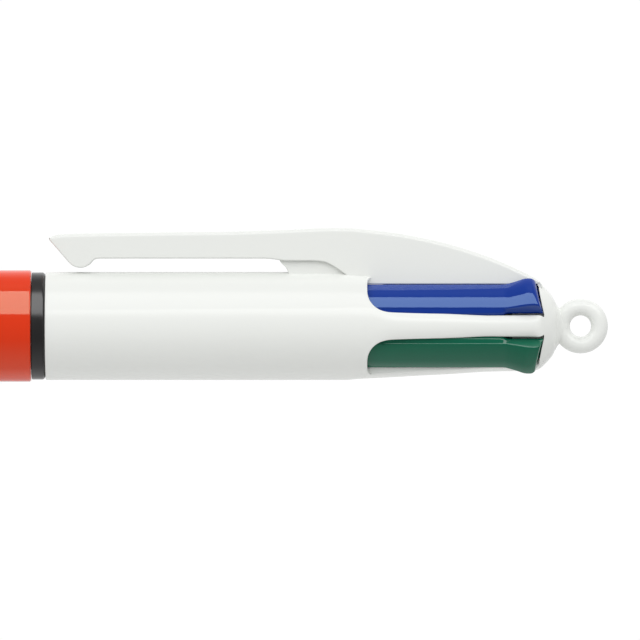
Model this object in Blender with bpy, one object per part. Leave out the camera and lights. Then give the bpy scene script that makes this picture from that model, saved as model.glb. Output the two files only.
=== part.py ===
"""Four-colour click pen lying along X: nose at -X, lanyard loop at +X, clip up (+Z).

Metres, +Z up. The origin is under the middle of the pen, on the surface it lies on.
"""

import bmesh
import bpy
import math
from mathutils import Matrix, Vector

for _o in list(bpy.data.objects):
    bpy.data.objects.remove(_o, do_unlink=True)

MM = 0.001
# ---- driving dimensions, mm -------------------------------------------------
AX = 6.4             # height of the pen's axis above the table
SEG = 32             # facets round a turned part
X_NOSE = -74.0       # nose end
LOWER_R = 6.4        # orange barrel radius
LOWER_END = 7.66     # orange barrel's rear edge
CONE_X = -47.0       # where the nose cone starts
NOSE_R = 2.55        # outside radius at the nose end
NOSE_HOLE_R = 1.56   # writing hole
BORE_R = 5.0         # bore of both barrels
RING_X0, RING_X1 = 7.76, 9.24   # black ring
RING_R, RING_BORE = 6.15, 4.85
UPPER_X0, UPPER_X1 = 9.34, 66.3  # white barrel
UPPER_R = 6.2
PITCH = 2.5          # barrel thread
THREAD_TURNS_OPEN = 3
MALE_CREST, MALE_ROOT = 4.70, 4.25
FEMALE_CREST, FEMALE_ROOT = 4.50, 4.95
SLOT_HALF = 2.8      # half width of a slider slot
SLOT_X0 = 46.35      # front end of a slot
RIB_IN_R = 4.4       # inside radius between the slots
STRIP_R = 5.28       # outer surface of a slider
STRIP_HALF = 1.88    # half width of a slider
STRIP_X0, STRIP_X1 = 45.0, 65.95
R_S = 2.55           # refill centres from the axis at the sliders
TRAVEL = 11.0        # slider stroke
LEAN = 0.115         # slope of a writing point towards the axis
BALL_REST_X = -65.5  # ball front at rest
BALL_REST_R = 0.6 + LEAN * TRAVEL
TUBE_R, TUBE_BORE = 1.1, 0.8
GUIDE_X0, GUIDE_X1 = 20.3, 23.3
SPRING_X0, SPRING_X1 = 24.65, 44.15
SPRING_MEAN_R, SPRING_WIRE_R, SPRING_TURNS = 1.48, 0.17, 10
CLIP_HALF = 2.03     # half width of the clip and its fin
CLIP_SPLIT = 35.3    # where the springy arm meets its root
CLIP_HINGE_Z = 9.3   # above the axis
LOOP_X, LOOP_MAJOR, LOOP_MINOR = 70.84, 2.18, 0.965

# colour name: (degrees round the axis, measured from +Z towards -Y, colour)
SLIDERS = {
    "blue": (45.0, (0.03, 0.06, 0.30)),
    "green": (135.0, (0.01, 0.10, 0.06)),
    "red": (225.0, (0.55, 0.02, 0.02)),
    "black": (315.0, (0.012, 0.012, 0.014)),
}


# ---- helpers ----------------------------------------------------------------
def material(name, colour, metallic, roughness):
    m = bpy.data.materials.new(name)
    m.use_nodes = True
    p = m.node_tree.nodes["Principled BSDF"]
    p.inputs["Base Color"].default_value = (*colour, 1.0)
    p.inputs["Metallic"].default_value = metallic
    p.inputs["Roughness"].default_value = roughness
    return m


def link(name, bm, origin, mat, smooth=True, guide=False):
    """Stores a bmesh built in world millimetres (axis at z = AX) as an object."""
    o = Vector(origin)
    bmesh.ops.recalc_face_normals(bm, faces=bm.faces)
    bmesh.ops.transform(bm, matrix=Matrix.Scale(MM, 4) @ Matrix.Translation(-o), verts=bm.verts)
    me = bpy.data.meshes.new(name)
    bm.to_mesh(me)
    bm.free()
    ob = bpy.data.objects.new(name, me)
    ob.location = o * MM
    bpy.context.scene.collection.objects.link(ob)
    if mat is not None:
        me.materials.append(mat)
    for f in me.polygons:
        f.use_smooth = smooth
    if guide:
        ob.hide_render = True
        ob.display_type = "WIRE"
    return ob


def lathe(profile, closed=True, seg=SEG, bm=None):
    """Turns (x, r) points round the pen's axis. r may be a function of angle. A closed profile makes a ring; an open one starts and ends on the axis."""
    bm = bm or bmesh.new()
    rings = []
    for x, r in profile:
        if not callable(r) and r < 1e-6:
            rings.append([bm.verts.new((x, 0, AX))])
            continue
        ring = []
        for i in range(seg):
            a = 2 * math.pi * i / seg
            rr = r(a) if callable(r) else r
            ring.append(bm.verts.new((x, rr * math.sin(a), AX + rr * math.cos(a))))
        rings.append(ring)
    n = len(rings)
    for k in range(n if closed else n - 1):
        a, b = rings[k], rings[(k + 1) % n]
        for i in range(seg):
            j = (i + 1) % seg
            if len(a) == 1 and len(b) == 1:
                continue
            if len(a) == 1:
                bm.faces.new((a[0], b[i], b[j]))
            elif len(b) == 1:
                bm.faces.new((a[i], a[j], b[0]))
            else:
                bm.faces.new((a[i], a[j], b[j], b[i]))
    return bm


def loft(sections, bm=None):
    """Joins sections, each a list of (x, y, z) points, and caps both ends."""
    bm = bm or bmesh.new()
    rows = [[bm.verts.new(p) for p in s] for s in sections]
    n = len(rows[0])
    for a, b in zip(rows, rows[1:]):
        for i in range(n):
            j = (i + 1) % n
            bm.faces.new((a[i], a[j], b[j], b[i]))
    bm.faces.new(rows[0])
    bm.faces.new(rows[-1])
    return bm


def sweep(path, radius, sides, inner=None):
    """A round rod, or a tube if inner is given, along a list of points."""
    bm = bmesh.new()

    def rows(r):
        out = []
        n0 = None
        for k, p in enumerate(path):
            a, b = path[max(k - 1, 0)], path[min(k + 1, len(path) - 1)]
            t = (Vector(b) - Vector(a)).normalized()
            if n0 is None:
                n0 = t.orthogonal().normalized()
            n0 = (n0 - t * n0.dot(t)).normalized()
            c = t.cross(n0)
            out.append([
                bm.verts.new(Vector(p) + r * (n0 * math.cos(q) + c * math.sin(q)))
                for q in (2 * math.pi * i / sides for i in range(sides))
            ])
        return out

    outer = rows(radius)
    skins = [outer]
    if inner is not None:
        skins.append(rows(inner))
    for rws in skins:
        for a, b in zip(rws, rws[1:]):
            for i in range(sides):
                j = (i + 1) % sides
                bm.faces.new((a[i], a[j], b[j], b[i]))
    if inner is None:
        bm.faces.new(outer[0])
        bm.faces.new(outer[-1])
    else:
        for e in (0, -1):
            for i in range(sides):
                j = (i + 1) % sides
                bm.faces.new((skins[0][e][i], skins[0][e][j], skins[1][e][j], skins[1][e][i]))
    return bm


def around(angle, d, w, x):
    """World point at radial distance d and sideways offset w from a slider's own centre line."""
    a = math.radians(angle)
    return (x, -d * math.sin(a) + w * math.cos(a), AX + d * math.cos(a) + w * math.sin(a))


def boolean(ob, other, op):
    m = ob.modifiers.new(op.lower(), "BOOLEAN")
    m.operation, m.object, m.solver = op, other, "EXACT"


def thread(root, crest, x0, x1, step, external):
    """Profile points of a sinusoidal helical thread that fades out at both ends."""
    pts = []
    n = int(round((x1 - x0) / step))
    for k in range(n + 1):
        x = x0 + (x1 - x0) * k / n
        fade = min(1.0, (x - x0) / PITCH, (x1 - x) / PITCH)
        base, top = (root, crest) if external else (crest, root)

        def r(a, x=x, fade=fade):
            g = 0.5 - 0.5 * math.cos(2 * math.pi * (x / PITCH) + a)
            if external:
                return root + (crest - root) * g * fade
            return root - (root - crest) * (1 - g) * fade

        pts.append((x, r))
    return pts


# ---- materials --------------------------------------------------------------
ORANGE = material("orange_plastic", (0.70, 0.045, 0.015), 0.0, 0.15)
WHITE = material("white_plastic", (0.80, 0.82, 0.80), 0.0, 0.12)
BLACK = material("black_plastic", (0.02, 0.02, 0.02), 0.0, 0.25)
GREY = material("inner_plastic", (0.55, 0.55, 0.55), 0.0, 0.35)
STEEL = material("spring_steel", (0.60, 0.60, 0.62), 1.0, 0.25)
BRASS = material("point_brass", (0.75, 0.60, 0.30), 1.0, 0.25)
BALL = material("ball_metal", (0.50, 0.50, 0.52), 1.0, 0.15)

# ---- lower barrel -----------------------------------------------------------
lower_profile = [
    (LOWER_END, 6.15), (LOWER_END - 0.25, LOWER_R), (CONE_X, LOWER_R), (-50, 6.33),
    (-54, 6.02), (-58, 5.58), (-62, 5.06), (-66, 4.50), (-69, 4.02), (-71.5, 3.50),
    (-73.3, 2.98), (X_NOSE, NOSE_R), (X_NOSE, NOSE_HOLE_R), (-66.5, 3.04),
    (-49.5, BORE_R), (-4.6, BORE_R),
] + thread(FEMALE_ROOT, FEMALE_CREST, -4.2, 6.0, 0.42, False) + [(6.2, 5.0), (LOWER_END, 5.05)]
link("lower_barrel", lathe(lower_profile), (0, 0, AX), ORANGE)

# ---- trim ring --------------------------------------------------------------
link("trim_ring", lathe([
    (RING_X0, RING_BORE), (RING_X0, 6.0), (RING_X0 + 0.12, RING_R),
    (RING_X1 - 0.35, RING_R), (RING_X1 - 0.1, 6.02), (RING_X1, 5.8), (RING_X1, RING_BORE),
]), (8.5, 0, AX), BLACK)

# ---- threaded coupling ------------------------------------------------------
coupling_profile = [
    (19.9, 3.95), (19.9, 4.6), (19.5, 4.9), (9.5, 4.9), (9.35, 4.6), (6.6, 4.6), (6.3, 4.25),
] + [p for p in reversed(thread(MALE_ROOT, MALE_CREST, -3.2, 6.0, 0.42, True))] + [
    (-3.6, 4.1), (-3.6, 3.8), (9.0, 3.8), (12.0, 3.95),
]
link("threaded_coupling", lathe(coupling_profile), (8.5, 0, AX), WHITE)

# ---- refill guide -----------------------------------------------------------
guide = link("refill_guide", lathe([
    (GUIDE_X0, 0.0), (GUIDE_X0, 4.6), (GUIDE_X0 + 0.25, 4.88), (GUIDE_X1 - 0.25, 4.88),
    (GUIDE_X1, 4.6), (GUIDE_X1, 0.0),
], closed=False), (GUIDE_X0, 0, AX), GREY)
for name, (ang, _c) in SLIDERS.items():
    c0, c1 = around(ang, R_S, 0, GUIDE_X0 - 1), around(ang, R_S, 0, GUIDE_X1 + 1)
    cut = link("cut_guide_" + name, sweep([c0, c1], 1.25, 16), (0, 0, AX), None, guide=True)
    boolean(guide, cut, "DIFFERENCE")

# ---- upper barrel with clip fin --------------------------------------------
upper = link("upper_barrel", lathe([
    (UPPER_X0, 5.05), (UPPER_X0, 6.0), (UPPER_X0 + 0.18, UPPER_R), (42.1, UPPER_R), (44.4, 6.13),
    (46.1, 6.03), (49.5, 5.85), (52.4, 5.68), (55.9, 5.50), (58.7, 5.31), (60.4, 5.22),
    (63.9, 5.15), (UPPER_X1, 5.08), (UPPER_X1, RIB_IN_R), (48.4, RIB_IN_R), (47.9, 5.42),
    (24.7, 5.42), (24.3, 4.7), (23.5, 4.7), (23.4, BORE_R), (10.0, BORE_R),
]), (0, 0, AX), WHITE)


def slot_section(ang, x, half):
    return [around(ang, d, w, x) for d, w in ((3.2, -half), (3.2, half), (7.6, half), (7.6, -half))]


for name, (ang, _c) in SLIDERS.items():
    secs = []
    for k in range(9):
        q = math.pi / 2 * k / 8
        secs.append(slot_section(ang, SLOT_X0 + SLOT_HALF * (1 - math.cos(q)), max(SLOT_HALF * math.sin(q), 0.12)))
    secs.append(slot_section(ang, UPPER_X1 + 2, SLOT_HALF))
    cut = link("cut_slot_" + name, loft(secs), (0, 0, AX), None, guide=True)
    boolean(upper, cut, "DIFFERENCE")


def fin_section(x, top, low, edge=0.22):
    """low is how deep the fin's middle reaches, into the barrel wall or the rib under it."""
    h = CLIP_HALF
    rise = 0.36 if low < 5.2 else 0.0
    pts = [(-0.9, low), (0.9, low), (1.3, low + rise * 0.36), (1.7, low + rise * 0.72), (h, low + rise),
           (h, top - edge), (h - edge, top), (-h + edge, top), (-h, top - edge),
           (-h, low + rise), (-1.7, low + rise * 0.72), (-1.3, low + rise * 0.36)]
    return [(x, y, AX + z) for y, z in pts]


FIN_TOP = ((38.9, 11.14), (41.3, 11.20), (45.5, 11.02), (46.5, 10.94), (48.6, 10.73), (52.4, 10.10), (55.3, 9.47),
           (58.2, 8.70), (61.6, 7.46), (63.9, 6.42), (65.2, 5.80), (66.15, 5.42))


def box_section(x, low, top, edge=0.22):
    h = CLIP_HALF
    pts = [(-0.8, low), (0.8, low), (1.3, low), (h - 0.1, low), (h, low + 0.1), (h, top - edge),
           (h - edge, top), (-h + edge, top), (-h, top - edge), (-h, low + 0.1),
           (-h + 0.1, low), (-1.3, low)]
    return [(x, y, AX + z) for y, z in pts]


fin = [box_section(CLIP_SPLIT + 0.3, 7.55, 11.04), box_section(36.4, 7.1, 11.06),
       box_section(37.1, 6.5, 11.08), fin_section(37.9, 11.10, 5.70)]
fin += [fin_section(x, z, 5.62 if x < 47 else 4.62) for x, z in FIN_TOP]
fin_ob = link("fin_body", loft(fin), (0, 0, AX), None, guide=True)
boolean(upper, fin_ob, "UNION")

# ---- clip arm ---------------------------------------------------------------
ARM = ((9.80, 9.74, 9.98), (9.95, 9.50, 10.20), (10.45, 9.00, 10.42), (11.2, 8.22, 10.55),
       (12.2, 7.16, 10.62), (12.9, 6.83, 10.66), (13.5, 6.71, 10.68), (14.2, 6.83, 10.72),
       (14.8, 7.30, 10.79), (15.3, 7.75, 10.79), (21.0, 7.75, 10.79), (27.0, 7.75, 10.79),
       (31.5, 7.75, 10.95), (CLIP_SPLIT, 7.60, 11.04))
link("clip_arm", loft([box_section(x, lo, hi) for x, lo, hi in ARM]),
     (CLIP_SPLIT, 0, AX + CLIP_HINGE_Z), WHITE, smooth=False)

# ---- end cap and lanyard loop ----------------------------------------------
cap = link("end_cap", lathe([
    (63.5, 0.0), (63.5, 3.45), (63.7, 3.65), (66.38, 3.65), (66.38, 4.86), (66.6, 4.62),
    (67.04, 4.12), (67.6, 3.45), (68.05, 2.75), (68.35, 2.15), (68.7, 1.5), (68.9, 0.8), (68.95, 0.0),
], closed=False), (68, 0, AX), WHITE)
bm = bmesh.new()
ring = []
for i in range(32):
    a = 2 * math.pi * i / 32
    ring.append([bm.verts.new((
        LOOP_X + (LOOP_MAJOR + LOOP_MINOR * math.cos(b)) * math.cos(a),
        LOOP_MINOR * math.sin(b),
        AX + (LOOP_MAJOR + LOOP_MINOR * math.cos(b)) * math.sin(a)))
        for b in (2 * math.pi * (j + 0.5) / 14 for j in range(14))])
for i in range(32):
    for j in range(14):
        i2, j2 = (i + 1) % 32, (j + 1) % 14
        bm.faces.new((ring[i][j], ring[i2][j], ring[i2][j2], ring[i][j2]))
loop = link("loop_body", bm, (68, 0, AX), None, guide=True)
boolean(cap, loop, "UNION")

# ---- latch core -------------------------------------------------------------
core_sections = []
for x, arm in ((50.5, 3.6), (51.2, 4.1), (62.8, 4.1), (63.3, 3.6)):
    pts = []
    for q in range(4):
        a = math.radians(90 * q)
        for d, w in ((0.95, 0.95), (arm, 0.45), (arm, -0.45)):
            pts.append((x, -d * math.sin(a) + w * math.cos(a), AX + d * math.cos(a) + w * math.sin(a)))
    core_sections.append(pts)
core = loft(core_sections)
bmesh.ops.triangulate(core, faces=core.faces)
link("latch_core", core, (57, 0, AX), GREY, smooth=False)

# ---- four sliders, springs and refills --------------------------------------
# x, outer radius, half width of a slider along its length
STRIP = ((STRIP_X0, 5.05, 1.70), (STRIP_X0 + 0.3, STRIP_R, STRIP_HALF), (60.6, STRIP_R, STRIP_HALF),
         (61.8, 5.33, 1.90), (62.9, 5.48, 1.95), (63.9, 5.68, 1.99), (64.7, 5.82, 2.02),
         (65.05, 5.80, 2.02), (65.35, 5.62, 2.0), (65.65, 5.25, 1.96), (STRIP_X1, 4.75, 1.9))


def strip_section(ang, x, radius, half):
    pts = []
    for k in range(7):
        w = half * (1 - k / 3.0) * (0.93 if k in (0, 6) else 1.0)
        pts.append(around(ang, math.sqrt(radius ** 2 - w * w), w, x))
    d_edge = math.sqrt(radius ** 2 - half ** 2) - 0.22
    d_edge = max(d_edge, 4.15)
    pts += [around(ang, d_edge, -half, x), around(ang, 4.0, -1.9 if half > 1.8 else -half, x),
            around(ang, 4.0, 1.9 if half > 1.8 else half, x), around(ang, d_edge, half, x)]
    return pts


def path_radius(x):
    """Distance of a refill tube's centre from the axis at x, at rest."""
    x0 = BALL_REST_X + 12.0
    r0 = BALL_REST_R + LEAN * 12.0
    if x <= x0:
        return r0 + LEAN * (x - x0)
    if x >= -5.0:
        return R_S
    t = (x - x0) / (-5.0 - x0)
    span = -5.0 - x0
    h00, h10 = 2 * t ** 3 - 3 * t ** 2 + 1, t ** 3 - 2 * t ** 2 + t
    return h00 * r0 + h10 * LEAN * span * 0.55 + (1 - h00) * R_S


for name, (ang, colour) in SLIDERS.items():
    mat = material(name + "_plastic", colour, 0.0, 0.12)
    slider = link("slider_" + name, loft([strip_section(ang, *s) for s in STRIP]),
                  around(ang, 0, 0, STRIP_X0), mat)
    web = [[around(ang, d, w, x) for d, w in ((2.4, -0.9), (2.4, 0.9), (4.5, 0.9), (4.5, -0.9))]
           for x in (44.9, 48.0)]
    web_ob = link("web_" + name, loft(web), (0, 0, AX), None, guide=True)
    boolean(slider, web_ob, "UNION")
    stem = bmesh.new()
    ca = math.radians(ang)
    rings = []
    for x, r in ((40.6, 0.0), (40.6, 0.5), (40.9, 0.68), (44.3, 0.68), (44.3, 1.42), (48.3, 1.42), (48.3, 0.0)):
        if r == 0:
            rings.append([stem.verts.new(around(ang, R_S, 0, x))])
        else:
            rings.append([stem.verts.new(around(ang, R_S + r * math.cos(q), r * math.sin(q), x))
                          for q in (2 * math.pi * (i + 0.5) / 16 for i in range(16))])
    for a, b in zip(rings, rings[1:]):
        for i in range(16):
            j = (i + 1) % 16
            if len(a) == 1:
                stem.faces.new((a[0], b[i], b[j]))
            elif len(b) == 1:
                stem.faces.new((a[i], a[j], b[0]))
            else:
                stem.faces.new((a[i], a[j], b[j], b[i]))
    stem_ob = link("stem_" + name, stem, (0, 0, AX), None, guide=True)
    boolean(slider, stem_ob, "UNION")

    # spring round the refill
    path = []
    n = SPRING_TURNS * 8
    for k in range(n + 1):
        t = k / n
        q = 2 * math.pi * SPRING_TURNS * t
        x = SPRING_X0 + SPRING_WIRE_R + (SPRING_X1 - SPRING_X0 - 2 * SPRING_WIRE_R) * t
        path.append(Vector(around(ang, R_S + SPRING_MEAN_R * math.cos(q), SPRING_MEAN_R * math.sin(q), x)))
    link("spring_" + name, sweep(path, SPRING_WIRE_R, 4), around(ang, R_S, 0, SPRING_X0), STEEL)

    # refill: tube, metal point, ball
    x_tube0 = BALL_REST_X + 10.2
    xs = [x_tube0, x_tube0 + 1.8] + [x_tube0 + 1.8 + (-5.0 - x_tube0 - 1.8) * k / 8 for k in range(1, 9)] + [19.5, 44.2]
    tube = [Vector(around(ang, path_radius(x), 0, x)) for x in xs]
    link("refill_tube_" + name, sweep(tube, TUBE_R, 10, TUBE_BORE), around(ang, R_S, 0, 44.2), mat)

    prof = ((0.56, 0.385), (2.0, 0.50), (4.0, 0.66), (6.0, 0.82), (8.0, 0.98), (9.9, 1.08), (10.1, 1.08),
            (10.1, 0.74), (12.2, 0.74), (12.2, 0.35), (0.56, 0.12))
    pm = bmesh.new()
    base = Vector(around(ang, BALL_REST_R, 0, BALL_REST_X))
    tdir = (Vector(around(ang, BALL_REST_R + LEAN, 0, BALL_REST_X + 1)) - base).normalized()
    u = Vector(around(ang, 0, 1, 0)) - Vector((0, 0, AX))
    v = tdir.cross(u)
    rings = [[pm.verts.new(base + tdir * t + r * (u * math.cos(q) + v * math.sin(q)))
              for q in (2 * math.pi * i / 14 for i in range(14))] for t, r in prof]
    for k in range(len(rings)):
        a, b = rings[k], rings[(k + 1) % len(rings)]
        for i in range(14):
            j = (i + 1) % 14
            pm.faces.new((a[i], a[j], b[j], b[i]))
    link("refill_point_" + name, pm, base, BRASS)

    bb = bmesh.new()
    bmesh.ops.create_uvsphere(bb, u_segments=8, v_segments=6, radius=0.26,
                              matrix=Matrix.Translation(base + tdir * 0.26))
    link("refill_ball_" + name, bb, base, BALL)
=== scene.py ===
"""Four-colour click pen: visible surfaces, materials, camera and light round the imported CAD."""

import bmesh
import bpy
import math
import numpy as np
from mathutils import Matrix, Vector


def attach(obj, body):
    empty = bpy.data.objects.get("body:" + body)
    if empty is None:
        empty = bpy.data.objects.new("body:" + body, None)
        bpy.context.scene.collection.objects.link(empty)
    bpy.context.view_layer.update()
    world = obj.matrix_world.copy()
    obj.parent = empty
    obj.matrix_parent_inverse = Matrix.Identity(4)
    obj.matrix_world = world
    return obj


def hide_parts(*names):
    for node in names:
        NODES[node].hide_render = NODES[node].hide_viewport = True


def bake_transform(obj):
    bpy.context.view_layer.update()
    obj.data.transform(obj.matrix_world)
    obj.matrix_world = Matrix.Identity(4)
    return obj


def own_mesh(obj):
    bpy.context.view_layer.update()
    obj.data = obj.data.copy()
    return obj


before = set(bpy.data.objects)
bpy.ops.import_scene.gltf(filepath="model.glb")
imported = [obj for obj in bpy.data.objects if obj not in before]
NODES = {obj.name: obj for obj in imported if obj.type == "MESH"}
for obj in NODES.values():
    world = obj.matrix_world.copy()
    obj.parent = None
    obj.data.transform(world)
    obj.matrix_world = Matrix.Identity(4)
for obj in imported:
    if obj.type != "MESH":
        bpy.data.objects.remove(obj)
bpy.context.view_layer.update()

MM = 0.001
AX = 6.4
SLIDERS = {"blue": 45.0, "green": 135.0, "red": 225.0, "black": 315.0}
R_S = 2.55
TRAVEL, LEAN = 11.0, 0.115
BALL_REST_X, BALL_REST_R = -65.5, 0.6 + 0.115 * 11.0
PITCH = 2.5


# ------------------------------------------------------------------ materials
def plastic(name, colour, rough=0.10, vary=0.03, spec=0.5, peel=0.05, grain=900.0, coat=0.0, tint=(1.0, 1.0, 1.0)):
    """Moulded plastic: a faint flow variation in colour, a fine uneven gloss and a very slight orange peel."""
    m = bpy.data.materials.new(name)
    m.use_nodes = True
    nt = m.node_tree
    p = nt.nodes["Principled BSDF"]
    p.inputs["Specular IOR Level"].default_value = spec
    p.inputs["Specular Tint"].default_value = (*tint, 1.0)
    p.inputs["IOR"].default_value = 1.5
    if coat:
        p.inputs["Coat Weight"].default_value = coat
        p.inputs["Coat Roughness"].default_value = 0.03
    tc = nt.nodes.new("ShaderNodeTexCoord")
    flow = nt.nodes.new("ShaderNodeTexNoise")
    flow.inputs["Scale"].default_value = 60.0
    flow.inputs["Detail"].default_value = 3.0
    nt.links.new(tc.outputs["Object"], flow.inputs["Vector"])
    mix = nt.nodes.new("ShaderNodeMix")
    mix.data_type = "RGBA"
    a = [max(0.0, c * (1 - vary)) for c in colour]
    b = [min(1.0, c * (1 + vary)) for c in colour]
    mix.inputs[6].default_value = (*a, 1)
    mix.inputs[7].default_value = (*b, 1)
    nt.links.new(flow.outputs["Fac"], mix.inputs[0])
    nt.links.new(mix.outputs[2], p.inputs["Base Color"])
    fine = nt.nodes.new("ShaderNodeTexNoise")
    fine.inputs["Scale"].default_value = grain
    fine.inputs["Detail"].default_value = 4.0
    nt.links.new(tc.outputs["Object"], fine.inputs["Vector"])
    ramp = nt.nodes.new("ShaderNodeMapRange")
    ramp.inputs["To Min"].default_value = rough * 0.75
    ramp.inputs["To Max"].default_value = rough * 1.35
    nt.links.new(fine.outputs["Fac"], ramp.inputs["Value"])
    nt.links.new(ramp.outputs["Result"], p.inputs["Roughness"])
    bump = nt.nodes.new("ShaderNodeBump")
    bump.inputs["Strength"].default_value = peel
    bump.inputs["Distance"].default_value = 0.00002
    nt.links.new(fine.outputs["Fac"], bump.inputs["Height"])
    nt.links.new(bump.outputs["Normal"], p.inputs["Normal"])
    return m


def metal(name, colour, rough=0.22, stretch=(1.0, 1.0, 1.0), grain=1500.0):
    """Turned or drawn metal with a fine uneven gloss."""
    m = plastic(name, colour, rough, 0.06, 0.5, 0.12, grain)
    nt = m.node_tree
    nt.nodes["Principled BSDF"].inputs["Metallic"].default_value = 1.0
    return m


ORANGE = plastic("orange_gloss", (0.66, 0.033, 0.006), 0.07, spec=0.62, tint=(0.60, 1.0, 0.74))
WHITE = plastic("white_gloss", (0.768, 0.782, 0.755), 0.22, 0.012, 0.20, 0.02)
BLACK = plastic("black_gloss", (0.013, 0.012, 0.012), 0.20, 0.10)
GREY = plastic("inner_satin", (0.52, 0.53, 0.54), 0.30)
STEEL = metal("spring_wire", (0.62, 0.62, 0.64), 0.22)
BRASS = metal("point_brass", (0.78, 0.62, 0.34), 0.20)
BALLM = metal("ball_metal", (0.55, 0.55, 0.57), 0.12)
COLOURS = {
    "blue": plastic("blue_gloss", (0.006, 0.030, 0.235), 0.06, 0.03, 0.60, tint=(0.52, 0.78, 1.0)),
    "green": plastic("green_gloss", (0.002, 0.100, 0.054), 0.06, 0.03, 0.45),
    "red": plastic("red_gloss", (0.50, 0.012, 0.014), 0.06),
    "black": plastic("black_slider_gloss", (0.010, 0.010, 0.012), 0.06, 0.10),
}


# ---------------------------------------------------------------- mesh making
def make(name, verts, faces, mat, body, replaces=(), sharp=38.0, weld=1e-4, ride=True):
    """A mesh object from points in millimetres."""
    me = bpy.data.meshes.new(name)
    me.from_pydata([(x * MM, y * MM, z * MM) for x, y, z in verts], [], [list(f) for f in faces])
    bm = bmesh.new()
    bm.from_mesh(me)
    bmesh.ops.remove_doubles(bm, verts=bm.verts, dist=weld * MM)
    bmesh.ops.recalc_face_normals(bm, faces=bm.faces)
    bm.to_mesh(me)
    bm.free()
    me.materials.append(mat)
    me.shade_smooth()
    me.set_sharp_from_angle(angle=math.radians(sharp))
    ob = bpy.data.objects.new(name, me)
    bpy.context.scene.collection.objects.link(ob)
    if ride:
        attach(ob, body)
    if replaces:
        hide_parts(*replaces)
    return ob


class Shell:
    """Collects points and faces of one piece."""

    def __init__(self):
        self.v, self.f = [], []

    def rows(self, rows, wrap=False, close=False, cap0=False, cap1=False):
        """Rows of points with the same count, joined by quads. wrap joins a row's ends, close joins the last row to the first."""
        base = len(self.v)
        n = len(rows[0])
        for r in rows:
            self.v.extend([tuple(map(float, p)) for p in r])
        m = len(rows)
        for i in range(m if close else m - 1):
            a, b = base + i * n, base + ((i + 1) % m) * n
            for j in range(n if wrap else n - 1):
                k = (j + 1) % n
                self.f.append((a + j, a + k, b + k, b + j))
        if cap0:
            self.f.append(tuple(base + j for j in range(n)))
        if cap1:
            self.f.append(tuple(base + (m - 1) * n + j for j in reversed(range(n))))
        return self


def round_profile(points, closed=True, steps=5):
    """(x, r, fillet radius) corners turned into a smooth run of (x, r) points."""
    out = []
    n = len(points)
    for i, (x, y, rad) in enumerate(points):
        if rad <= 0 or (not closed and i in (0, n - 1)):
            out.append((x, y))
            continue
        p = np.array([x, y])
        a = np.array(points[i - 1][:2]) - p
        b = np.array(points[(i + 1) % n][:2]) - p
        la, lb = np.linalg.norm(a), np.linalg.norm(b)
        a, b = a / la, b / lb
        ang = math.acos(max(-1, min(1, float(a @ b))))
        if ang > math.pi - 0.02:
            out.append((x, y))
            continue
        t = min(rad / math.tan(ang / 2), 0.48 * la, 0.48 * lb)
        r = t * math.tan(ang / 2)
        c = p + (a + b) / np.linalg.norm(a + b) * (r / math.sin(ang / 2))
        s, e = p + a * t, p + b * t
        a0 = math.atan2(*(s - c)[::-1])
        a1 = math.atan2(*(e - c)[::-1])
        d = (a1 - a0 + math.pi) % (2 * math.pi) - math.pi
        for k in range(steps + 1):
            q = a0 + d * k / steps
            out.append((c[0] + r * math.cos(q), c[1] + r * math.sin(q)))
    return out


def lathe_rows(profile, seg):
    rows = []
    for x, r in profile:
        row = []
        for i in range(seg):
            a = 2 * math.pi * i / seg
            rr = r(a) if callable(r) else r
            row.append((x, rr * math.sin(a), AX + rr * math.cos(a)))
        rows.append(row)
    return rows


def smooth_run(points, step):
    """Catmull-Rom through (x, r) points."""
    pts = [np.array(p, float) for p in points]
    pts = [2 * pts[0] - pts[1]] + pts + [2 * pts[-1] - pts[-2]]
    out = []
    for i in range(1, len(pts) - 2):
        p0, p1, p2, p3 = pts[i - 1:i + 3]
        n = max(1, int(abs(p2[0] - p1[0]) / step))
        for k in range(n):
            t = k / n
            out.append(tuple(0.5 * (2 * p1 + (p2 - p0) * t + (2 * p0 - 5 * p1 + 4 * p2 - p3) * t * t
                                    + (3 * p1 - p0 - 3 * p2 + p3) * t ** 3)))
    out.append(tuple(pts[-2]))
    return out


def around(ang, d, w, x):
    a = math.radians(ang)
    return (x, -d * math.sin(a) + w * math.cos(a), AX + d * math.cos(a) + w * math.sin(a))


def thread(root, crest, x0, x1, step, external):
    pts = []
    n = int(round((x1 - x0) / step))
    for k in range(n + 1):
        x = x0 + (x1 - x0) * k / n
        fade = min(1.0, (x - x0) / PITCH, (x1 - x) / PITCH)

        def r(a, x=x, fade=fade):
            g = 0.5 - 0.5 * math.cos(2 * math.pi * (x / PITCH) + a)
            if external:
                return root + (crest - root) * g * fade
            return root - (root - crest) * (1 - g) * fade

        pts.append((x, r))
    return pts


# -------------------------------------------------------------- lower barrel
cone = smooth_run([(-47.0, 6.4), (-50, 6.33), (-54, 6.02), (-58, 5.58), (-62, 5.06), (-66, 4.50),
                   (-69, 4.02), (-71.5, 3.50), (-73.3, 2.98)], 0.5)
outer = [(7.80, 5.08), (7.80, 6.28)] + [(7.80 - 0.12 * math.sin(q), 6.28 + 0.12 * (1 - math.cos(q)))
         for q in np.linspace(0.2, math.pi / 2, 6)]
outer += [(x, 6.4) for x in np.arange(6.5, -46.9, -1.5)] + cone
outer += round_profile([(-73.3, 2.98, 0), (-74.0, 2.62, 0.35), (-74.0, 1.56, 0.12), (-66.5, 3.04, 0)], closed=False)
outer += [(-49.5, 5.0), (-30.0, 5.0), (-4.6, 5.0)]
outer += thread(4.95, 4.50, -4.2, 6.0, 0.2, False) + [(6.2, 5.0)]
s = Shell().rows(lathe_rows(outer, 160), wrap=True, close=True)
make("lower_barrel_shell", s.v, s.f, ORANGE, "lower", ["lower_barrel"])

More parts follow.
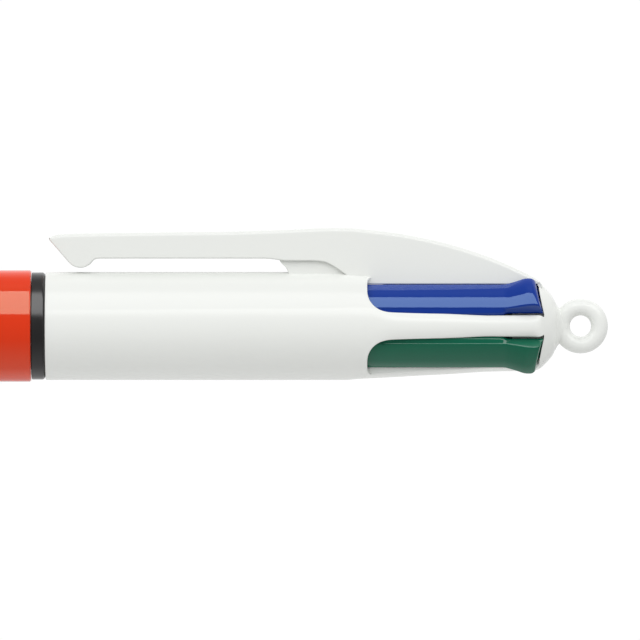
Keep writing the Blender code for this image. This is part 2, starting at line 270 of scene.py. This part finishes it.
# ------------------------------------------------------------------ trim ring
ring = round_profile([(7.87, 4.87, 0.05), (7.87, 6.15, 0.10), (9.39, 6.15, 0.34), (9.39, 4.87, 0.05)], steps=8)
s = Shell().rows(lathe_rows(ring, 160), wrap=True, close=True)
make("trim_ring_shell", s.v, s.f, BLACK, "ring", ["trim_ring"])

# -------------------------------------------------------- threaded coupling
coup = [(19.9, 3.95), (19.9, 4.6), (19.5, 4.9), (9.5, 4.9), (9.35, 4.6), (6.6, 4.6), (6.3, 4.25)]
coup += list(reversed(thread(4.25, 4.70, -3.2, 6.0, 0.2, True))) + [(-3.6, 4.1), (-3.6, 3.8), (9.0, 3.8), (12.0, 3.95)]
s = Shell().rows(lathe_rows(coup, 96), wrap=True, close=True)
make("coupling_shell", s.v, s.f, WHITE, "upper", ["threaded_coupling"])

# --------------------------------------------------------------- upper barrel
OUT_X = [9.7, 42.1, 44.4, 46.1, 49.5, 52.4, 55.9, 58.7, 60.4, 63.9, 65.2, 65.6, 65.95, 66.27, 66.6]
OUT_R = [6.2, 6.2, 6.13, 6.03, 5.85, 5.68, 5.50, 5.31, 5.22, 5.15, 5.11, 5.07, 4.98, 4.82, 4.52]
_run = np.array(smooth_run(list(zip(OUT_X, OUT_R)), 0.08))


def out_r(x):
    return float(np.interp(x, _run[:, 0], _run[:, 1]))


def in_r(x):
    return float(np.interp(x, [23.4, 23.5, 24.3, 24.7, 47.9, 48.4], [5.0, 4.7, 4.7, 5.50, 5.50, 4.4]))


SLOT_C, SLOT_H, RIB_END = 49.09, 2.74, 66.6
N = 26


def pol(x, theta, rho, rib, sign):
    """theta from the rib's centre, in radians; rib is which of the four ribs."""
    a = math.radians(90 * rib) + sign * theta
    return (x, -rho * math.sin(a), AX + rho * math.cos(a))


shell = Shell()
front_rows = [(9.45, 5.05), (9.45, 6.04)] + [(9.45 + 0.2 * (1 - math.cos(q)), 6.0 + 0.2 * math.sin(q))
              for q in np.linspace(0.35, math.pi / 2, 6)]
xs_front = list(np.arange(10.5, 45.9, 1.2))


def edge_round(x):
    return float(np.interp(x, [46.35, 49.15, 53.0, 60.0, 65.2, 66.4], [0.14, 0.24, 0.30, 0.34, 0.26, 0.04]))


def crown(x):
    """How far the rib's edges drop below the barrel's circle."""
    t = np.clip([(x - 46.6) / 3.6, (66.5 - x) / 1.2], 0.0, 1.0)
    return float(0.2 * np.prod(t * t * (3 - 2 * t)))


def slot_half(x):
    return float(np.interp(x, [49.09, 54.7, 59.3, 63.9, 66.6], [SLOT_H, 2.60, 2.54, 2.48, 2.44]))


qs = [math.pi / 2 * k / 26 for k in range(27)]
xs_rib = list(np.arange(49.65, 65.3, 0.75)) + [65.4, 65.6, 65.8, 65.95, 66.1, 66.25, 66.38, 66.5, RIB_END]
for rib in range(4):
    for sign in (1, -1):
        outer_rows = [[(x, math.pi / 4 * j / N, r) for j in range(N + 1)] for x, r in front_rows]
        outer_rows += [[(x, math.pi / 4 * j / N, out_r(x)) for j in range(N + 1)] for x in xs_front]
        wall_rows, inner_rows = [], []
        for x in (9.45, 23.4, 23.5, 24.3, 24.7, 36.0, 46.0):
            inner_rows.append([(x, math.pi / 4 * j / N, 5.05 if x < 10 else in_r(x)) for j in range(N + 1)])
        stations = [(q, None) for q in qs] + [(None, x) for x in xs_rib]
        power = 0.8 if rib % 2 else 0.42
        for q, xx in stations:
            if q is not None:
                cq, sq = max(math.cos(q), 0.0) ** power, math.sin(q) ** power
                r = edge_round(SLOT_C - SLOT_H * cq)
                xb, wb = SLOT_C - (SLOT_H + r) * cq, (SLOT_H + r) * sq
                xw, ww = SLOT_C - SLOT_H * cq, SLOT_H * sq
            else:
                r = edge_round(xx)
                xb, wb, xw, ww = xx, slot_half(xx) + r, xx, slot_half(xx)
            rb = out_r(xb)
            tb = math.pi / 4 - math.asin(wb / rb)
            outer_rows.append([(xb, tb * j / N, rb - crown(xb) * (j / N) ** 2) for j in range(N + 1)])
            col = []
            for k in range(9):
                ph = math.pi / 2 * k / 8
                f = r - r * math.sin(ph)
                if q is not None:
                    xk, wk = SLOT_C - (SLOT_H + f) * cq, (SLOT_H + f) * sq
                else:
                    xk, wk = xx, slot_half(xx) + f
                dk = math.sqrt(out_r(xk) ** 2 - wk * wk) - r * (1 - math.cos(ph))
                tk = math.pi / 4 - math.atan2(wk, dk)
                col.append((xk, tk, math.hypot(wk, dk) - crown(xk) * (tk / tb) ** 2))
            ri = in_r(xw)
            di = math.sqrt(ri * ri - ww * ww)
            for t in (0.5, 1.0):
                d = col[8][2] * math.cos(math.pi / 4 - col[8][1]) * (1 - t) + di * t
                col.append((xw, math.pi / 4 - math.atan2(ww, d), math.hypot(ww, d)))
            wall_rows.append(col)
            ti = math.pi / 4 - math.asin(ww / ri)
            inner_rows.append([(xw, ti * j / N, ri) for j in range(N + 1)])
        conv = lambda rows: [[pol(*p, rib, sign) for p in row] for row in rows]
        shell.rows(conv(outer_rows))
        shell.rows(conv(wall_rows))
        shell.rows(conv(inner_rows))
        end = [pol(*p, rib, sign) for p in outer_rows[-1]] + [pol(*p, rib, sign) for p in wall_rows[-1][1:]] \
            + [pol(*p, rib, sign) for p in reversed(inner_rows[-1][:-1])]
        base = len(shell.v)
        shell.v.extend(end)
        shell.f.append(tuple(range(base, base + len(end))))
make("upper_barrel_shell", shell.v, shell.f, WHITE, "upper", ["upper_barrel"], weld=2e-4)


# the keel: flat sides under the bottom rib, as the fin has above
def keel_section(x, lift):
    r, rf, half = out_r(x) + lift, 0.34, 2.03
    cy, cz = half - rf, -math.sqrt((r - rf) ** 2 - (half - rf) ** 2)
    end = math.atan2(-cz, cy)
    side = [(half, -3.9), (half, -4.1)] + [(cy + rf * math.cos(q), cz - rf * math.sin(q)) for q in np.linspace(0.0, end, 9)]
    y1 = side[-1][0]
    arc = [(y, -math.sqrt(r * r - y * y)) for y in np.linspace(y1, -y1, 19)[1:-1]]
    return [(x, y, AX + z) for y, z in side + arc + [(-y, z) for y, z in reversed(side)]]


keel = Shell()
keel.rows([keel_section(x, lift) for x, lift in [(46.15, -0.35), (46.3, -0.12), (46.5, -0.03), (46.9, 0.008)]
           + [(x, 0.012) for x in np.arange(47.6, 65.6, 0.5)] + [(65.7, 0.011), (65.95, 0.01), (66.1, 0.01), (66.25, 0.01), (66.38, 0.01), (66.5, 0.008), (66.6, 0.005)]],
          wrap=True, cap0=True, cap1=True)
make("lower_keel", keel.v, keel.f, WHITE, "upper", [], weld=1e-4)


# ------------------------------------------------------------ clip and its fin
def px(x, y):
    """Side view drawing units (0.1148 mm) to millimetres along the pen and above its axis."""
    return ((x + 36.6) * 0.1148, (326 - y) * 0.1148)


top = [(50.5, 237.6), (52.5, 236.2), (56, 235.0), (60, 234.3), (70, 233.7), (80, 233.4), (100, 233), (140, 232.7),
       (150, 232.5), (190, 232.0), (230, 231.7), (245, 231.2), (270, 230.3), (290, 229.6), (305, 228.8), (320, 228.2),
       (335, 227.9), (350, 228.2), (360, 229.0), (370, 230.0), (380, 231.1), (390, 232.4), (400, 233.8), (410, 235.6),
       (420, 237.4), (430, 239.5), (440, 242), (450, 244.6), (460, 247.5), (470, 250.6), (480, 254), (490, 257.6),
       (500, 261.6), (510, 266), (520, 270.6), (530, 275.4), (537, 279.4), (540, 282.2), (542, 285.0), (543.5, 288.5), (544.5, 292.0), (545.2, 296.0)]
bottom = [(545.2, 298.0), (542, 297.0), (540.2, 293.0), (539.6, 287.6), (539.2, 284.2), (530, 284.2), (500, 284.2), (440, 284.2), (400, 284.2), (375, 284.2), (362, 284.2), (357, 284.2),
          (353.5, 280.0), (350, 277.0), (347.5, 276.0), (344, 273.6), (340.5, 271.0), (337, 268.6), (333, 266.0), (329, 263.7), (324.5, 261.9), (318, 261.0), (310, 260.8),
          (300, 260.8), (290, 260.8), (284, 260.7), (279, 260.2), (274, 259.2), (268, 258.6), (260, 258.5), (240, 258.5), (210, 258.5),
          (180, 258.5), (150, 258.5), (120, 258.5), (104, 258.5), (97, 258.6), (94.2, 259.4), (92.6, 261.2), (90.6, 263.6), (88, 265.6), (84.5, 267.2),
          (80.5, 267.9), (76.5, 267.4), (73.2, 266.0), (70.0, 263.6), (65.0, 257.8), (60.0, 251.9), (54.5, 245.6), (50.3, 240.9),
          (49.3, 239.6), (49.3, 238.6)]


def softened(points, times=2):
    """An open run of points with its corners softened."""
    pts = [np.array(p, float) for p in points]
    for _ in range(times):
        out = [pts[0]]
        for a, b in zip(pts[:-1], pts[1:]):
            out += [0.75 * a + 0.25 * b, 0.25 * a + 0.75 * b]
        out.append(pts[-1])
        pts = out
    return np.array(pts)


def slab(shell, upper, lower, stations, half, r_up, r_low, steps=6):
    """A flat bar between two drawn edges, given thickness across the pen, with rounded edges all round."""
    up, lo_ = softened(upper), softened(lower)
    up, lo_ = up[np.argsort(up[:, 0])], lo_[np.argsort(lo_[:, 0])]
    n = len(stations)
    outline = [(x, np.interp(x, up[:, 0], up[:, 1])) for x in stations] \
        + [(x, np.interp(x, lo_[:, 0], lo_[:, 1])) for x in reversed(stations)]
    pts = np.array([px(*p) for p in outline])
    area_ = 0.5 * np.sum(pts[:, 0] * np.roll(pts[:, 1], -1) - np.roll(pts[:, 0], -1) * pts[:, 1])
    e = np.roll(pts, -1, 0) - pts
    e /= np.maximum(np.linalg.norm(e, axis=1), 1e-9)[:, None]
    t = e + np.roll(e, 1, 0)
    t /= np.linalg.norm(t, axis=1)[:, None]
    nrm = np.stack([t[:, 1], -t[:, 0]], 1) * (1 if area_ > 0 else -1)
    room = np.array([abs(pts[k][1] - pts[2 * n - 1 - k][1]) for k in range(n)])
    room = np.concatenate([room, room[::-1]])
    r_pt = np.minimum(np.array([r_up] * n + [r_low] * n), 0.42 * room)
    rows = [[(p[0] - m[0] * (r + 0.03), -half, AX + p[1] - m[1] * (r + 0.03)) for p, m, r in zip(pts, nrm, r_pt)]]
    for k in range(steps + 1):
        q = math.pi / 2 * k / steps
        rows.append([(p[0] - m[0] * r * (1 - math.sin(q)), -(half - r + r * math.cos(q)), AX + p[1] - m[1] * r * (1 - math.sin(q)))
                     for p, m, r in zip(pts, nrm, r_pt)])
    rows += [[(x, -y, z) for x, y, z in row] for row in reversed(rows)]
    base = len(shell.v)
    shell.rows(rows, wrap=True)
    last = base + (len(rows) - 1) * 2 * n
    for k in range(n - 1):
        shell.f.append((base + k + 1, base + k, base + 2 * n - 1 - k, base + 2 * n - 2 - k))
        shell.f.append((last + k, last + k + 1, last + 2 * n - 2 - k, last + 2 * n - 1 - k))


fine = [49.3, 49.6, 50.0, 50.6, 51.4, 52.6, 54.0, 56.0] + list(np.arange(58.0, 72.0, 2.0)) + list(np.arange(72.0, 104.0, 1.0)) \
    + list(np.arange(104.0, 262.0, 6.0)) + list(np.arange(262.0, 312.0, 3.0)) + list(np.arange(312.0, 378.0, 1.5)) \
    + list(np.arange(378.0, 536.0, 6.0)) + [537.0, 538.4, 539.0, 539.3, 539.6, 540.0, 540.6, 541.2, 541.8, 542.4, 543.0, 543.6, 544.2, 544.7, 545.1]
clip = Shell()
slab(clip, top, bottom, fine, 2.03, 0.46, 0.15, steps=8)
web_top = [(279.5, 256.0), (352, 256.0)]
web_bottom = [(279.5, 260.0), (280.5, 262.2), (282.5, 264.4), (285.0, 266.4), (286.6, 268.6), (287.8, 271.4), (289.0, 274.5), (290.5, 278.0), (352, 278.0)]
slab(clip, web_top, web_bottom, [279.5, 280.0, 280.6, 281.4, 282.5, 283.8, 285.0, 286.0, 286.8, 287.6, 288.4, 289.4, 290.5, 292, 300, 320, 340, 352], 1.62, 0.10, 0.10)
ob = make("clip_moulding", clip.v, clip.f, WHITE, None, ["clip_arm"], sharp=30, ride=False)
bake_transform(ob)


# --------------------------------------------------------------- end cap, loop
END_SLANT = 0.13


def cap_front(theta_deg, rho):
    """How far forward the cap's front face stands at an angle and radius: it leans forward in each slot."""
    d45 = (theta_deg % 90) - 45
    w, d = rho * math.sin(math.radians(d45)), rho * math.cos(math.radians(d45))
    if abs(w) > 2.54:
        return 66.48
    towards = w if int(theta_deg // 90) % 2 else -w
    return min(66.60, 66.66 - 0.3 * (d - 4.1) - END_SLANT * (towards + 2.24))


cap = Shell()
SEG = 288
dome = smooth_run([(66.61, 4.51), (66.85, 4.27), (67.08, 4.03), (67.32, 3.76), (67.6, 3.40), (67.85, 2.92), (68.02, 2.4),
                                (68.12, 1.9), (68.2, 1.3)], 0.04) + [(68.25, 0.7), (68.26, 0.02)]
rows = []
for rho in (0.02, 2.0, 3.6):
    rows.append([(66.62, rho * math.sin(2 * math.pi * i / SEG), AX + rho * math.cos(2 * math.pi * i / SEG)) for i in range(SEG)])
for rho in (3.95, 4.1, 4.2, 4.3, 4.4, 4.46):
    rows.append([(cap_front(360 * i / SEG, rho), rho * math.sin(2 * math.pi * i / SEG), AX + rho * math.cos(2 * math.pi * i / SEG)) for i in range(SEG)])
# in each slot the cap's rim follows the barrel's outline; at the ribs it tucks under their ends, so that no seam is left
for t in (0.0, 0.03, 0.25, 0.5, 0.75, 0.97):
    rim = []
    for i in range(SEG):
        q = 2 * math.pi * i / SEG
        w = 4.8 * math.sin(math.radians((360 * i / SEG) % 90 - 45))
        if abs(w) > 2.54:
            x, r = 66.48, 4.605 - 0.001 * t
        else:
            front = cap_front(360 * i / SEG, 4.8)
            x = front + t * (66.604 - front)
            r = out_r(x) - (0.05 if t == 0.0 else 0.006)
        rim.append((x, r * math.sin(q), AX + r * math.cos(q)))
    rows.append(rim)
rows += lathe_rows(dome, SEG)
cap.rows(rows, wrap=True, cap0=True, cap1=True)
plug = round_profile([(62.9, 0.02, 0), (62.9, 3.55, 0.2), (66.8, 3.55, 0), (66.8, 0.02, 0)], closed=False)
cap.rows(lathe_rows(plug, 64), wrap=True, cap0=True, cap1=True)
LX, LM, Lm = 70.84, 2.18, 0.965
rows = []
for i in range(96):
    a = 2 * math.pi * i / 96
    rows.append([(LX + (LM + Lm * math.cos(b)) * math.cos(a), Lm * math.sin(b), AX + (LM + Lm * math.cos(b)) * math.sin(a))
                 for b in (2 * math.pi * j / 32 for j in range(32))])
cap.rows(rows, wrap=True, close=True)
# a short waist that runs from the dome into the loop
rows = []
for x, hz, hy in ((67.95, 2.75, 2.2), (68.1, 2.45, 1.9), (68.25, 2.2, 1.5), (68.45, 2.0, 1.2), (68.8, 1.9, 1.0), (69.3, 1.6, 0.8)):
    rows.append([(x, hy * math.sin(q), AX + hz * math.cos(q)) for q in (2 * math.pi * j / 48 for j in range(48))])
cap.rows(rows, wrap=True, cap0=True, cap1=True)
make("end_cap_shell", cap.v, cap.f, WHITE, "upper", ["end_cap"], sharp=35)

# -------------------------------------------------------------------- sliders
S_X = [45.0, 45.15, 45.4, 46.0, 50.0, 55.0, 60.0, 61.8, 62.0, 62.2, 62.4, 64.2, 64.4, 64.6, 64.8, 65.1]
S_R = [4.95, 5.15, 5.25, 5.28, 5.28, 5.28, 5.28, 5.28, 5.295, 5.33, 5.385, 5.94, 5.985, 6.015, 6.03, 6.03]
S_H = [1.90, 2.00, 2.06, 2.08, 2.08, 2.08, 2.08, 2.08, 2.085, 2.095, 2.11, 2.225, 2.235, 2.24, 2.24, 2.24]
FIN_SIDE = {"blue": 1, "green": -1, "red": 1, "black": -1}


def slider_section(ang, x, radius, half, shear, edge, fin, f):
    """Closed section: crowned outside, rounded edges, sloping flanks that fill the slot, flat inside. It is narrower next to the fin."""
    up_ramp = min(1.0, max(0.0, (radius - 5.28) / 0.5))

    def side(h, by_fin):
        sk = 2.44 - (0.20 * up_ramp if by_fin else float(np.interp(x, [54, 61.8, 62.4], [0, 0.10, 0.42])))
        low_d = 4.30 if by_fin else 4.42
        turn = 52 if by_fin else 72
        wa = h - edge
        de = math.sqrt(radius ** 2 - wa * wa)
        slope = math.atan2(wa, de)
        c = (de - edge * math.cos(slope), wa - edge * math.sin(slope))
        run = []
        for k in range(1, 8):
            q = (math.radians(turn + (90 - turn) * up_ramp) - slope) * k / 7 + slope
            run.append((c[0] + edge * math.cos(q), c[1] + edge * math.sin(q)))
        d1, w1 = run[-1]
        t = 0.05 / max(0.1, d1 - low_d)
        run.append((d1 - 0.05, w1 + t * (sk - 0.03 - w1)))
        return wa, run + [(0.5 * (d1 + low_d), 0.5 * (w1 + sk - 0.02)), (low_d + 0.04, sk - 0.03), (low_d - 0.03, sk), (4.06, sk), (4.0, sk - 0.08)]

    up = down = half
    if fin:
        t = min(1.0, max(0.0, (radius - 5.30) / 0.72))
        narrow = 1.90 + (half - 1.90) * t
        up, down = (narrow, half) if fin > 0 else (half, narrow)
    wu, run_u = side(up, fin > 0)
    wd, run_d = side(down, fin < 0)
    arc = [(math.sqrt(radius ** 2 - w * w), w) for w in np.linspace(-wd, wu, 21)]
    ring = [(d, -w) for d, w in reversed(run_d)] + arc + run_u
    return [around(ang, d, w, x - shear * (d - 4.1) - END_SLANT * f * (w * fin + 2.24)) for d, w in ring]


for name, ang in SLIDERS.items():
    sh = Shell()
    rows = []
    fin = FIN_SIDE.get(name, 0)
    xs = np.concatenate([np.array([45.0, 45.1, 45.2, 45.35, 45.6, 46.0]), np.arange(47.0, 60.5, 1.5), np.arange(60.5, 61.7, 0.4), np.arange(61.7, 65.12, 0.1)])
    for x in xs:
        r, h = float(np.interp(x, S_X, S_R)), float(np.interp(x, S_X, S_H))
        edge = float(np.interp(x, [45, 46, 61, 64.5], [0.22, 0.22, 0.22, 0.24]))
        f = float(np.interp(x, [61.0, 65.0], [0.0, 1.0]))
        rows.append(slider_section(ang, x + 0.94 * f, r, h, 0.30 * f, edge, fin, f))
    # rounded rear corner and the sloping end face
    for k in range(1, 9):
        q = math.pi / 2 * k / 8
        rows.append(slider_section(ang, 65.1 + 0.94 + 0.48 * math.sin(q), 6.03 - 0.42 * (1 - math.cos(q)), 2.24 - 0.10 * (1 - math.cos(q)), 0.30, 0.24, fin, 1.0))
    sh.rows(rows, wrap=True, cap0=True, cap1=True)
    # carrier and stem inside
    prof = [(40.6, 0.02), (40.6, 0.45), (40.85, 0.68), (44.2, 0.68), (44.3, 0.72), (44.3, 1.32), (44.4, 1.42), (48.2, 1.42), (48.3, 1.32), (48.3, 0.02)]
    sh.rows([[around(ang, R_S + r * math.cos(q), r * math.sin(q), x) for q in (2 * math.pi * j / 32 for j in range(32))] for x, r in prof],
            wrap=True, cap0=True, cap1=True)
    sh.rows([[around(ang, d, w, x) for d, w in ((2.6, -0.85), (2.6, 0.85), (4.2, 0.85), (4.2, -0.85))] for x in (44.95, 47.9)],
            wrap=True, cap0=True, cap1=True)
    make("slider_%s_shell" % name, sh.v, sh.f, COLOURS[name], "push_" + name, ["slider_" + name], sharp=40, weld=5e-5)


# ------------------------------------------------- springs, refills and points
def sweep_rows(path, radius, sides):
    rows, n0 = [], None
    for k, p in enumerate(path):
        a, b = path[max(k - 1, 0)], path[min(k + 1, len(path) - 1)]
        t = (b - a).normalized()
        if n0 is None:
            n0 = t.orthogonal().normalized()
        n0 = (n0 - t * n0.dot(t)).normalized()
        c = t.cross(n0)
        rows.append([tuple(p + radius * (n0 * math.cos(q) + c * math.sin(q))) for q in (2 * math.pi * i / sides for i in range(sides))])
    return rows


def path_radius(x):
    x0 = BALL_REST_X + 12.0
    r0 = BALL_REST_R + LEAN * 12.0
    if x <= x0:
        return r0 + LEAN * (x - x0)
    if x >= -5.0:
        return R_S
    t = (x - x0) / (-5.0 - x0)
    span = -5.0 - x0
    h00, h10 = 2 * t ** 3 - 3 * t ** 2 + 1, t ** 3 - 2 * t ** 2 + t
    return h00 * r0 + h10 * LEAN * span * 0.55 + (1 - h00) * R_S


for name, ang in SLIDERS.items():
    # spring: close coils at each end, open in the middle
    turns, x0, x1 = 11.0, 24.82, 43.98
    path = []
    n = int(turns * 20)
    for k in range(n + 1):
        t = k / n
        q = 2 * math.pi * turns * t
        e = 1.3 / turns
        lin = 0.024 * min(t, e) / e + 0.952 * max(0.0, min(t - e, 1 - 2 * e)) / (1 - 2 * e) + 0.024 * max(0.0, t - (1 - e)) / e
        path.append(Vector(around(ang, R_S + 1.48 * math.cos(q), 1.48 * math.sin(q), x0 + (x1 - x0) * lin)))
    sp = Shell().rows(sweep_rows(path, 0.16, 8), wrap=True, cap0=True, cap1=True)
    ob = make("spring_%s_coil" % name, sp.v, sp.f, STEEL, "upper", ["spring_" + name], weld=1e-6)
    span = x1 - x0
    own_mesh(ob)

    # refill tube
    xt = BALL_REST_X + 10.2
    xs = list(np.arange(xt, -5.0, 1.2)) + list(np.linspace(-5.0, 44.2, 26))
    tube = [Vector(around(ang, path_radius(x), 0, x)) for x in xs]
    tb = Shell()
    o_rows, i_rows = sweep_rows(tube, 1.1, 24), sweep_rows(tube, 0.8, 24)
    tb.rows(o_rows + list(reversed(i_rows)), wrap=True, close=True)
    ob = make("refill_tube_%s_skin" % name, tb.v, tb.f, COLOURS[name], None, ["refill_tube_" + name], ride=False)
    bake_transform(ob)

    # writing point and ball
    base = Vector(around(ang, BALL_REST_R, 0, BALL_REST_X))
    tdir = (Vector(around(ang, BALL_REST_R + LEAN, 0, BALL_REST_X + 1)) - base).normalized()
    u = Vector(around(ang, 0, 1, 0)) - Vector((0, 0, AX))
    v = tdir.cross(u)
    prof = [(0.30, 0.24), (0.34, 0.31), (0.6, 0.39), (1.9, 0.46), (2.05, 0.50), (4.0, 0.66), (6.0, 0.82), (8.0, 0.98), (8.3, 1.04), (9.95, 1.08),
            (10.1, 1.05), (10.1, 0.74), (12.2, 0.74), (12.2, 0.35), (0.56, 0.12)]
    pt = Shell().rows([[tuple(base + tdir * t + r * (u * math.cos(q) + v * math.sin(q))) for q in (2 * math.pi * i / 40 for i in range(40))]
                       for t, r in prof], wrap=True, close=True)
    make("refill_point_%s_cone" % name, pt.v, pt.f, BRASS, "point_" + name, ["refill_point_" + name])
    c = base + tdir * 0.26
    bl = Shell().rows([[tuple(c + 0.26 * (-tdir * math.cos(p) + math.sin(p) * (u * math.cos(q) + v * math.sin(q))))
                        for q in (2 * math.pi * i / 20 for i in range(20))] for p in np.linspace(0.05, math.pi - 0.05, 12)],
                      wrap=True, cap0=True, cap1=True)
    make("refill_ball_%s_dot" % name, bl.v, bl.f, BALLM, "point_" + name, ["refill_ball_" + name])

for n in ("refill_guide", "latch_core"):
    NODES[n].data.materials.clear()
    NODES[n].data.materials.append(GREY)

# -------------------------------------------------------------- floor and light
bm = bmesh.new()
bmesh.ops.create_circle(bm, cap_ends=True, segments=96, radius=0.12)
me = bpy.data.meshes.new("floor")
bm.to_mesh(me)
bm.free()
floor = bpy.data.objects.new("floor", me)
floor.location = (0.0, 0.0, -0.17)
floor.visible_glossy = False
bpy.context.scene.collection.objects.link(floor)
fm = bpy.data.materials.new("pale_floor")
fm.use_nodes = True
fp = fm.node_tree.nodes["Principled BSDF"]
fp.inputs["Roughness"].default_value = 0.8
tc = fm.node_tree.nodes.new("ShaderNodeTexCoord")
nz = fm.node_tree.nodes.new("ShaderNodeTexNoise")
nz.inputs["Scale"].default_value = 40.0
fm.node_tree.links.new(tc.outputs["Object"], nz.inputs["Vector"])
mx = fm.node_tree.nodes.new("ShaderNodeMix")
mx.data_type = "RGBA"
mx.inputs[6].default_value = (0.83, 0.83, 0.83, 1)
mx.inputs[7].default_value = (0.86, 0.86, 0.86, 1)
fm.node_tree.links.new(nz.outputs["Fac"], mx.inputs[0])
fm.node_tree.links.new(mx.outputs[2], fp.inputs["Base Color"])
me.materials.append(fm)


def area(name, centre, size_x, size_y, radiance, target=(0.0, 0.0, AX * MM)):
    """A soft box: a rectangle of light with the given brightness."""
    l = bpy.data.lights.new(name, "AREA")
    l.shape = "RECTANGLE"
    l.size, l.size_y = size_x, size_y
    l.energy = radiance * math.pi * size_x * size_y
    o = bpy.data.objects.new(name, l)
    o.location = centre
    d = Vector(target) - Vector(centre)
    z = -d.normalized()
    x = Vector((1, 0, 0))
    y = z.cross(x).normalized()
    x = y.cross(z).normalized()
    from_axes = [[x[i], y[i], z[i]] for i in range(3)]
    import mathutils
    o.rotation_mode = "QUATERNION"
    o.rotation_quaternion = mathutils.Matrix(from_axes).to_quaternion()
    o.visible_camera = False
    bpy.context.scene.collection.objects.link(o)
    return o


el = math.radians(51)
box = (0.0, -0.6 * math.cos(el), 0.6 * math.sin(el))
area("softbox_sheen", box, 1.6, 0.585, 3.9).visible_diffuse = False
area("softbox_fill", box, 1.6, 0.585, 1.94).visible_glossy = False

world = bpy.data.worlds.new("studio")
bpy.context.scene.world = world
world.use_nodes = True
world.cycles.sampling_method = "NONE"
wt = world.node_tree
wt.nodes.clear()
wo = wt.nodes.new("ShaderNodeOutputWorld")
bg_cam, bg_env = wt.nodes.new("ShaderNodeBackground"), wt.nodes.new("ShaderNodeBackground")
bg_cam.inputs["Color"].default_value = (1, 1, 1, 1)
bg_cam.inputs["Strength"].default_value = 1.02
lp = wt.nodes.new("ShaderNodeLightPath")
ms = wt.nodes.new("ShaderNodeMixShader")
tcw = wt.nodes.new("ShaderNodeTexCoord")
sep = wt.nodes.new("ShaderNodeSeparateXYZ")
wt.links.new(tcw.outputs["Generated"], sep.inputs[0])
mr = wt.nodes.new("ShaderNodeMapRange")
mr.inputs["From Min"].default_value = -1.0
mr.inputs["From Max"].default_value = 1.0
wt.links.new(sep.outputs["Z"], mr.inputs["Value"])


def grey_ramp(stops):
    """Brightness of the surroundings from straight down (0) to straight up (1)."""
    ramp = wt.nodes.new("ShaderNodeValToRGB")
    wt.links.new(mr.outputs["Result"], ramp.inputs["Fac"])
    els = ramp.color_ramp.elements
    while len(els) < len(stops):
        els.new(0.5)
    for e, (z, v) in zip(els, stops):
        e.position = (z + 1) / 2
        e.color = (v, v, v, 1)
    return ramp


# what the gloss sees: dark towards the viewer, brighter below, above and behind
gloss = grey_ramp([(-1.0, 0.72), (-0.91, 0.58), (-0.77, 0.42), (-0.50, 0.20), (0.25, 0.20), (0.70, 0.33), (0.80, 0.30), (0.89, 0.23), (0.96, 0.27), (0.985, 0.33), (1.0, 0.45)])
my = wt.nodes.new("ShaderNodeMapRange")
my.inputs["From Min"].default_value = 0.15
my.inputs["From Max"].default_value = 0.75
my.inputs["To Min"].default_value = 1.0
my.inputs["To Max"].default_value = 2.2
wt.links.new(sep.outputs["Y"], my.inputs["Value"])
rim = wt.nodes.new("ShaderNodeMapRange")
rim.inputs["From Min"].default_value = 0.76
rim.inputs["From Max"].default_value = 0.95
rim.inputs["To Min"].default_value = 0.0
rim.inputs["To Max"].default_value = 2.0
wt.links.new(sep.outputs["Y"], rim.inputs["Value"])
both = wt.nodes.new("ShaderNodeMath")
both.operation = "ADD"
wt.links.new(my.outputs["Result"], both.inputs[0])
wt.links.new(rim.outputs["Result"], both.inputs[1])
wt.links.new(gloss.outputs["Color"], bg_env.inputs["Color"])
wt.links.new(both.outputs[0], bg_env.inputs["Strength"])
# what the matt colour sees: an even room
bg_dif = wt.nodes.new("ShaderNodeBackground")
even = grey_ramp([(-1.0, 0.92), (-0.75, 0.94), (-0.5, 0.55), (-0.25, 0.53), (0.0, 0.54), (0.5, 0.87), (1.0, 1.10)])
wt.links.new(even.outputs["Color"], bg_dif.inputs["Color"])
back = wt.nodes.new("ShaderNodeMapRange")
back.inputs["From Min"].default_value = 0.1
back.inputs["From Max"].default_value = 0.8
back.inputs["To Min"].default_value = 1.0
back.inputs["To Max"].default_value = 1.4
wt.links.new(sep.outputs["Y"], back.inputs["Value"])
wt.links.new(back.outputs["Result"], bg_dif.inputs["Strength"])
md = wt.nodes.new("ShaderNodeMixShader")
wt.links.new(lp.outputs["Is Diffuse Ray"], md.inputs["Fac"])
wt.links.new(bg_env.outputs[0], md.inputs[1])
wt.links.new(bg_dif.outputs[0], md.inputs[2])
wt.links.new(lp.outputs["Is Camera Ray"], ms.inputs["Fac"])
wt.links.new(md.outputs[0], ms.inputs[1])
wt.links.new(bg_cam.outputs[0], ms.inputs[2])
wt.links.new(ms.outputs[0], wo.inputs["Surface"])

# --------------------------------------------------------------------- camera
cam = bpy.data.cameras.new("camera")
cam.type = "PERSP"
cam.sensor_width = 36.0
DIST = 1.5
cam.lens = 36.0 * DIST / 0.073472
cam.clip_start, cam.clip_end = 0.05, 20.0
co = bpy.data.objects.new("camera", cam)
cx, cz = px(320, 320)
co.location = (cx * MM, -DIST, (AX + cz) * MM)
co.rotation_euler = (math.pi / 2, 0, 0)
bpy.context.scene.collection.objects.link(co)
bpy.context.scene.camera = co
vs = bpy.context.scene.view_settings
vs.view_transform, vs.look, vs.exposure, vs.gamma = "Standard", "None", 0.0, 1.0
